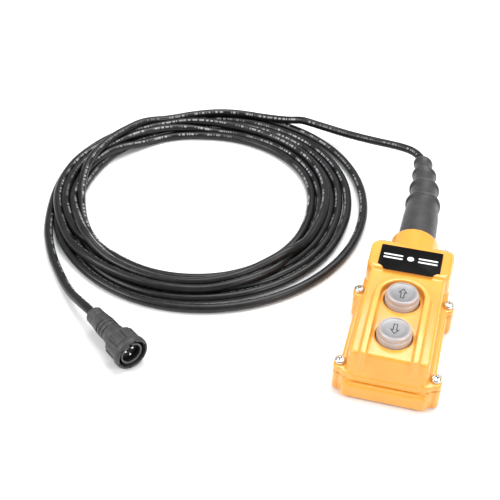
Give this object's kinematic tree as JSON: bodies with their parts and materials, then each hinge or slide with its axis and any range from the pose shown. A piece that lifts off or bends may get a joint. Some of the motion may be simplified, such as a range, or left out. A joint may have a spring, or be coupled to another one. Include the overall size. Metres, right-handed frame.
{
  "type": "pendant control station",
  "caption": "Hand-held up/down pushbutton station with a ribbed strain-relief boot, coiled flexible cord and a round screw-on plug.",
  "frame": {"origin": "middle of the flat back, halfway between the bumper's front face and the boot's tip, on the surface the pendant lies on", "axes": "+Z out through the buttons, +Y along the housing towards the cord, +X to the right seen from above the buttons with the cord end up"},
  "size_m": [0.324, 0.3156, 0.042],
  "materials": {
    "housing": "glossy glass-filled polyamide",
    "gasket": "soft black seal",
    "label": "satin printed label",
    "screw_steel": "zinc-plated pan heads",
    "button_cap": "satin turned metal",
    "plunger": "natural acetal",
    "contact_metal": "silver-tipped brass",
    "spring_steel": "drawn spring wire",
    "switch_block": "moulded thermoset",
    "terminal_steel": "zinc-plated",
    "boot_rubber": "satin moulded rubber",
    "cable_jacket": "satin cable jacket",
    "clamp_metal": "pressed strip",
    "wire": "insulated core",
    "grip_rubber": "overmoulded grip",
    "nut_plastic": "moulded nut",
    "insert_plastic": "grey moulded insert",
    "pin_metal": "plated contact pins"
  },
  "bodies": {
    "case": {"rear_housing": "housing", "front_cover": "housing", "housing_gasket": "gasket", "connector_seal": "gasket", "label_plate": "label", "cover_screw_1": "screw_steel", "cover_screw_2": "screw_steel", "cover_screw_3": "screw_steel", "cover_screw_4": "screw_steel", "cover_screw_5": "screw_steel", "cover_screw_6": "screw_steel", "clamp_screw_1": "screw_steel", "clamp_screw_2": "screw_steel", "fixed_contact_1": "contact_metal", "fixed_contact_2": "contact_metal", "fixed_contact_3": "contact_metal", "fixed_contact_4": "contact_metal", "switch_block": "switch_block", "terminal_screw_1": "terminal_steel", "terminal_screw_2": "terminal_steel", "terminal_screw_3": "terminal_steel", "terminal_screw_4": "terminal_steel", "block_screw_1": "terminal_steel", "block_screw_2": "terminal_steel", "cable_boot": "boot_rubber", "cable_core": "cable_jacket", "cable_lead": "cable_jacket", "cable_tail": "cable_jacket", "cable_coil": "cable_jacket", "cable_clamp": "clamp_metal", "wire_1": "wire", "wire_2": "wire", "wire_3": "wire", "connector_grip": "grip_rubber", "connector_insert": "insert_plastic", "connector_pin_1": "pin_metal", "connector_pin_2": "pin_metal", "connector_pin_3": "pin_metal"},
    "button_up": {"button_up_cap": "button_cap", "button_up_seal": "gasket", "button_up_plunger": "plunger", "button_up_bridge": "contact_metal", "button_up_spring": "spring_steel"},
    "button_down": {"button_down_cap": "button_cap", "button_down_seal": "gasket", "button_down_plunger": "plunger", "button_down_bridge": "contact_metal", "button_down_spring": "spring_steel"},
    "coupling_nut": {"coupling_nut": "nut_plastic"}
  },
  "joints": [
    {"name": "button_up_press", "type": "slide", "parent": "case", "child": "button_up", "axis": [0, 0, -1], "range_m": [0, 0.004], "stiffness_N_per_m": 1800, "springref_m": -0.002, "deforming": ["button_up_spring"]},
    {"name": "button_down_press", "type": "slide", "parent": "case", "child": "button_down", "axis": [0, 0, -1], "range_m": [0, 0.004], "stiffness_N_per_m": 1800, "springref_m": -0.002, "deforming": ["button_down_spring"]},
    {"name": "coupling_nut_spin", "type": "hinge", "parent": "case", "child": "coupling_nut", "pos_m": [-0.16805, -0.12552, 0.0121], "axis": [0.809, -0.5878, 0], "continuous": true}
  ]
}
